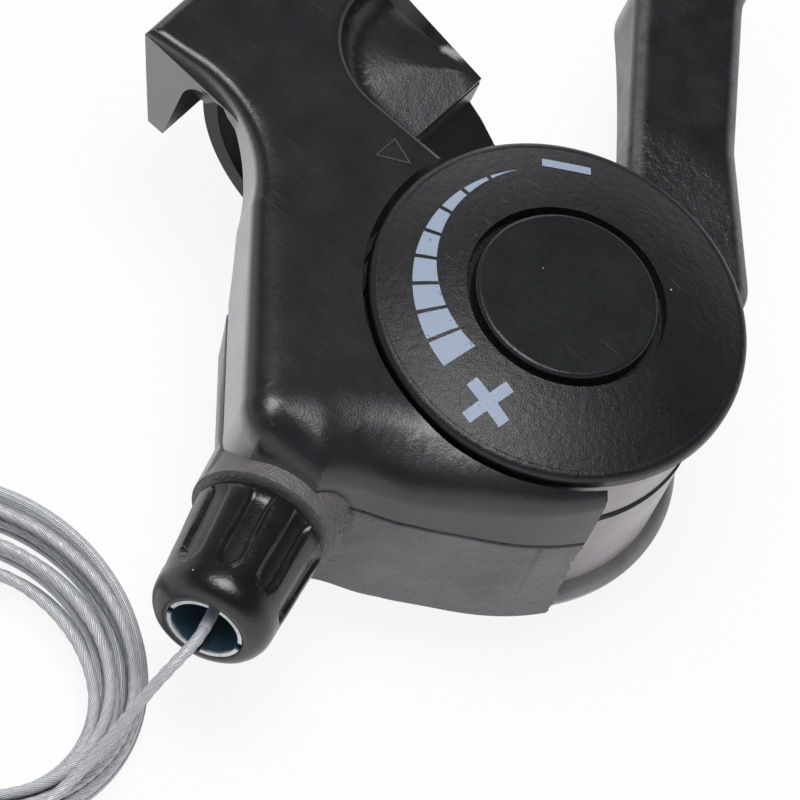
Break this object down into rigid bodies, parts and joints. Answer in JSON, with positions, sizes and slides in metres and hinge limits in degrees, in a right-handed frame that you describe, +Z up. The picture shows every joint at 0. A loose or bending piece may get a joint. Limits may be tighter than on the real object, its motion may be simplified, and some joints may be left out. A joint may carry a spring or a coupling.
{
  "type": "bicycle thumb gear shifter",
  "caption": "Thumb shifter that clamps on a handlebar: a lever turns a gauge dial and winds the shift cable, a fluted barrel adjuster sets its length, and the spare cable lies coiled.",
  "frame": {"origin": "middle of the handlebar clamp, on the bar's axis", "axes": "+X from the bar towards the dial, +Y along the bar towards its open end, +Z up along the dial's axis"},
  "size_m": [0.0668, 0.1321, 0.0334],
  "materials": {
    "body_plastic": "satin, fine moulded grain",
    "housing_plastic": "dull, coarse moulded grain",
    "bowl_plastic": "dull, moulded grain",
    "band_plastic": "satin",
    "lever_plastic": "satin, fine moulded grain",
    "drum_plastic": "dull",
    "dial_plastic": "satin, fine moulded grain, printed gauge",
    "cap_plastic": "smooth satin",
    "barrel_plastic": "glossy",
    "sleeve_metal": "polished",
    "brass": "turned",
    "steel": "zinc plated",
    "cable_steel": "galvanised strands"
  },
  "bodies": {
    "bracket": {"upper_body": "body_plastic", "lower_housing": "housing_plastic", "base_bowl": "bowl_plastic", "clamp_band": "band_plastic", "clamp_bolt": "steel", "clamp_nut": "steel", "housing_screws": "steel", "pivot_axle": "steel", "axle_nut": "steel", "foot_washer": "steel", "friction_washer": "steel", "spring_washer": "steel", "thrust_washer": "steel", "tension_nut": "steel", "cable_run": "cable_steel", "cable_lead": "cable_steel", "cable_coil": "cable_steel"},
    "lever": {"lever": "lever_plastic", "cable_drum": "drum_plastic", "dial": "dial_plastic", "dial_cap": "cap_plastic", "cable_nipple": "steel", "cable_wrap": "cable_steel"},
    "adjuster": {"adjuster_barrel": "barrel_plastic", "adjuster_sleeve": "sleeve_metal", "adjuster_stem": "brass"}
  },
  "joints": [
    {"name": "lever_turn", "type": "hinge", "parent": "bracket", "child": "lever", "pos_m": [0.0314, -0.011, 0.0172], "axis": [0, 0, 1], "range_deg": [-82, 0]},
    {"name": "adjuster_turn", "type": "hinge", "parent": "bracket", "child": "adjuster", "pos_m": [0.0165, -0.01527, 0.0052], "axis": [0.2756, -0.9613, 0], "range_deg": [-720, 720]}
  ]
}
